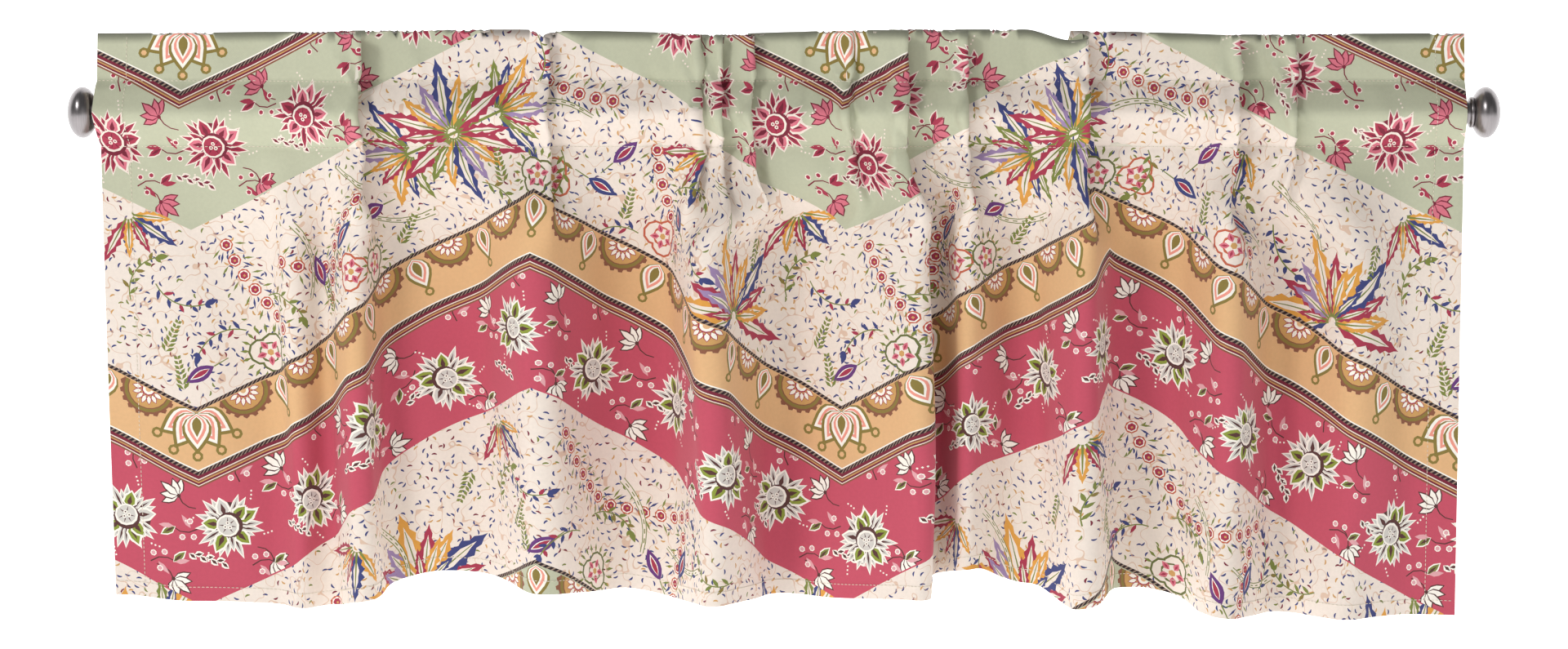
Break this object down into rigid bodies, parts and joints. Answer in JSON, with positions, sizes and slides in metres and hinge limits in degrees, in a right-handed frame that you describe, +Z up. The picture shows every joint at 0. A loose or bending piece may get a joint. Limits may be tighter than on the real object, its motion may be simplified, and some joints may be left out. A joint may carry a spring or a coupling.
{
  "type": "window valance on a curtain rod",
  "caption": "Gathered rod-pocket window valance in one piece of zigzag-banded floral cotton, with a standing header, hung on a plain round rod with knob finials.",
  "frame": {"origin": "middle of the rod's axis, halfway along the rod", "axes": "+X along the rod to the right as seen from the room, +Y towards the window, +Z up"},
  "size_m": [1.1316, 0.0734, 0.47],
  "materials": {
    "cloth": "plain-woven printed cotton, matt",
    "metal": "satin nickel plating"
  },
  "bodies": {
    "root": {"valance": "cloth", "rod": "metal", "finial_left": "metal", "finial_right": "metal"}
  },
  "joints": []
}
